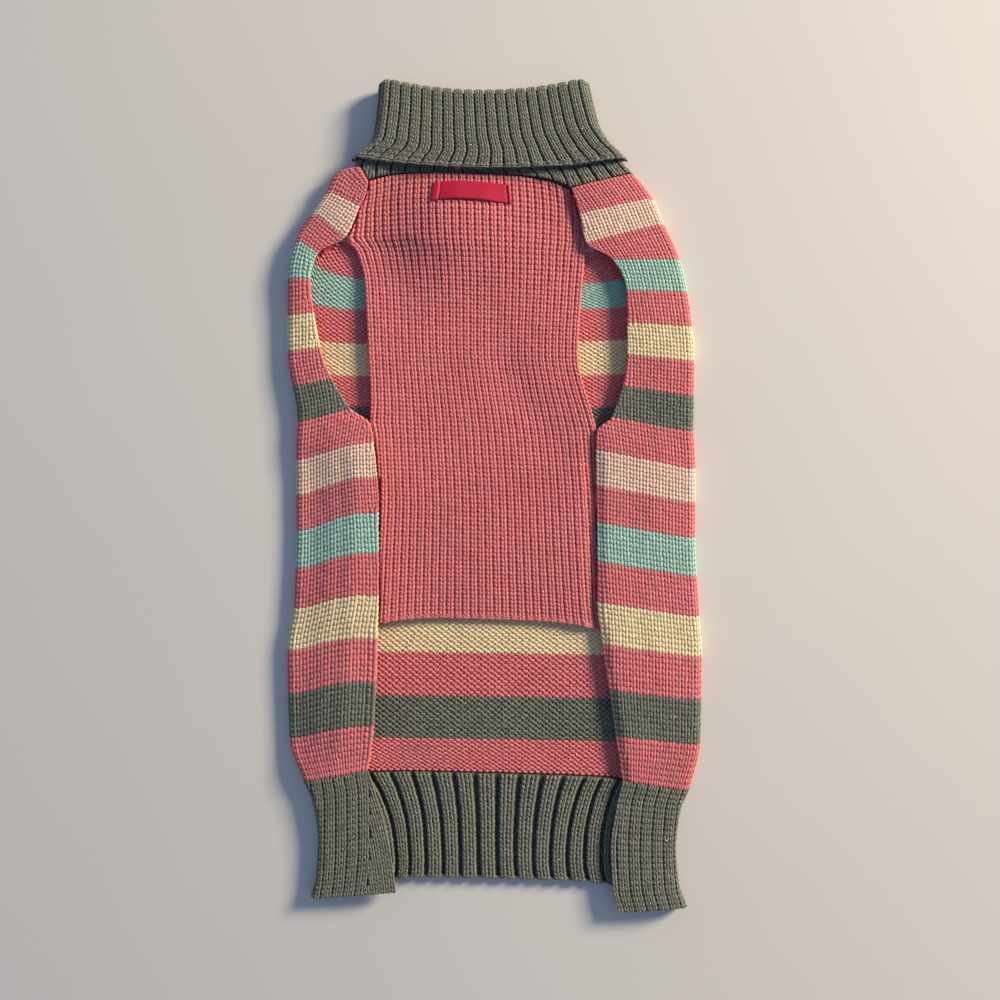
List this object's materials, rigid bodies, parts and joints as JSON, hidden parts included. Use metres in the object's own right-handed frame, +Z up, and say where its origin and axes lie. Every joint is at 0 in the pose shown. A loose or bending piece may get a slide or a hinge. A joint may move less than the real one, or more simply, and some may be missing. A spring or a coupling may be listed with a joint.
{
  "type": "dog sweater",
  "caption": "Small knitted dog sweater with a folded ribbed turtleneck, striped back, ribbed belly panel and ribbed hem band, laid flat with its belly side up.",
  "frame": {"origin": "the flat underside, under the middle of the garment's length and width", "axes": "+Y from the hem towards the collar, +X across the garment, +Z up from the table to the belly side"},
  "size_m": [0.1943, 0.3891, 0.0112],
  "materials": {
    "striped_knit": "soft brushed yarn in smooth knit, pink between stripes of pale pink, aqua, cream and grey",
    "pink_rib": "soft pink yarn in one by one rib",
    "grey_rib": "heathered grey yarn in two by two rib",
    "woven_label": "crimson woven ribbon with folded, stitched ends"
  },
  "bodies": {
    "root": {"back_panel": "striped_knit", "belly_panel": "pink_rib", "hem_band": "grey_rib", "collar": "grey_rib", "label": "woven_label"}
  },
  "joints": []
}
